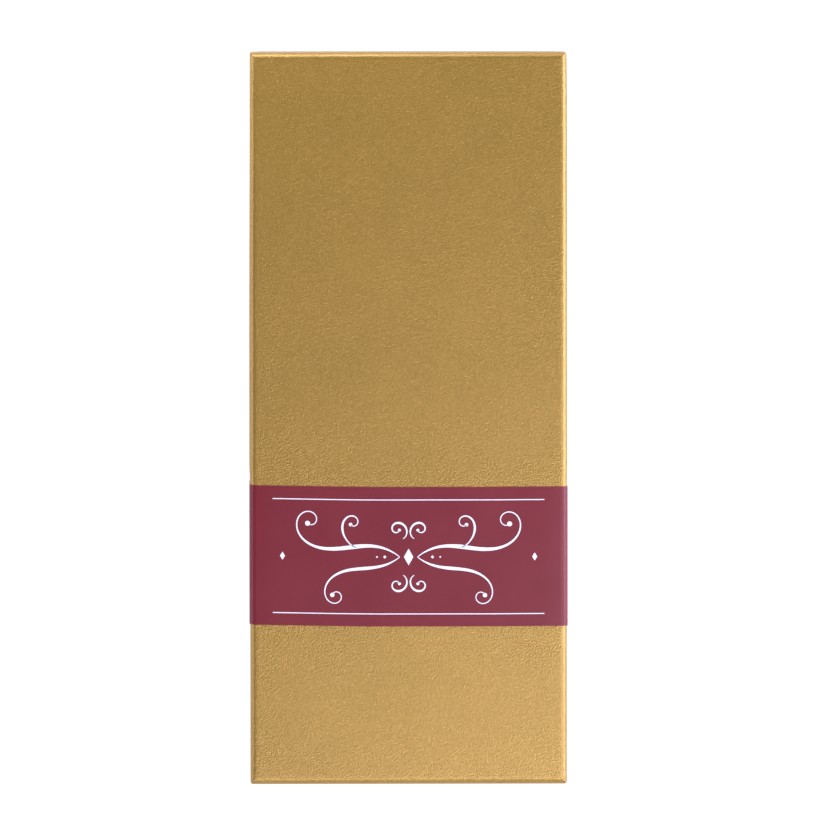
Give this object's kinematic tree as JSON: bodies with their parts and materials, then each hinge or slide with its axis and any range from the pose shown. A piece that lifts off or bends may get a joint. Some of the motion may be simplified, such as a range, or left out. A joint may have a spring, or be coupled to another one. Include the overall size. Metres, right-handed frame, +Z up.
{
  "type": "calligraphy set box",
  "caption": "Long flat rigid gift box with a lift-off lid and a paper band, holding a quill pen, spare nibs, an ink bottle and a leaflet in a flocked foam insert.",
  "frame": {"origin": "centre of the closed box's underside, on the table", "axes": "+Z up out of the lid's face; +Y along the box, away from the end that the band is nearer to; +X across the box"},
  "size_m": [0.115, 0.265, 0.0384],
  "materials": {
    "greyboard": "raw greyboard",
    "covering_paper": "pearlescent gold paper embossed with a fine leather grain",
    "lining_paper": "matt uncoated",
    "stay_paper": "gummed kraft paper",
    "band_paper": "matt coated",
    "foam": "closed-cell foam",
    "flock": "flocked",
    "quill": "satin horn",
    "feather": "soft, with fine barbs",
    "turned_wood": "dark lacquer",
    "brass": "polished",
    "steel": "satin",
    "bottle_glass": "clear",
    "ink": "wet black",
    "cap_plastic": "satin black",
    "liner": "matt",
    "leaflet_paper": "uncoated"
  },
  "bodies": {
    "base": {"base_board": "greyboard", "base_wrap": "covering_paper", "base_lining": "lining_paper", "base_corner_stays": "stay_paper", "insert_foam": "foam", "insert_cover": "flock", "quill_shaft": "quill", "quill_vane_left": "feather", "quill_vane_right": "feather", "pen_holder": "turned_wood", "nib_ferrule": "brass", "quill_ferrule": "brass", "nib_clip": "steel", "spare_nib_1": "steel", "spare_nib_2": "steel", "spare_nib_3": "steel", "spare_nib_4": "steel", "spare_nib_5": "steel", "ink_bottle": "bottle_glass", "ink": "ink", "leaflet": "leaflet_paper"},
    "lid": {"lid_board": "greyboard", "lid_wrap": "covering_paper", "lid_lining": "lining_paper", "lid_corner_stays": "stay_paper"},
    "band": {"band": "band_paper"},
    "nib": {"writing_nib": "steel"},
    "cap_liner": {"cap_liner": "liner"},
    "cap": {"bottle_cap": "cap_plastic"}
  },
  "joints": [
    {"name": "lid_lift", "type": "slide", "parent": "base", "child": "lid", "axis": [0, 0, 1], "range_m": [0, 0.06]},
    {"name": "band_slide", "type": "slide", "parent": "lid", "child": "band", "axis": [0, -1, 0], "range_m": [0, 0.115]},
    {"name": "nib_pull", "type": "slide", "parent": "base", "child": "nib", "axis": [0, -1, 0], "range_m": [0, 0.009]},
    {"name": "cap_rise", "type": "slide", "parent": "base", "child": "cap_liner", "axis": [0, 1, 0], "range_m": [0, 0.00375]},
    {"name": "cap_turn", "type": "hinge", "parent": "cap_liner", "child": "cap", "pos_m": [0.0242, -0.12, 0.01525], "axis": [0, 1, 0], "range_deg": [0, 540]}
  ],
  "couplings": [
    {"joint": "cap_turn", "follows": "cap_rise", "rad_per_m": 2513.3}
  ]
}
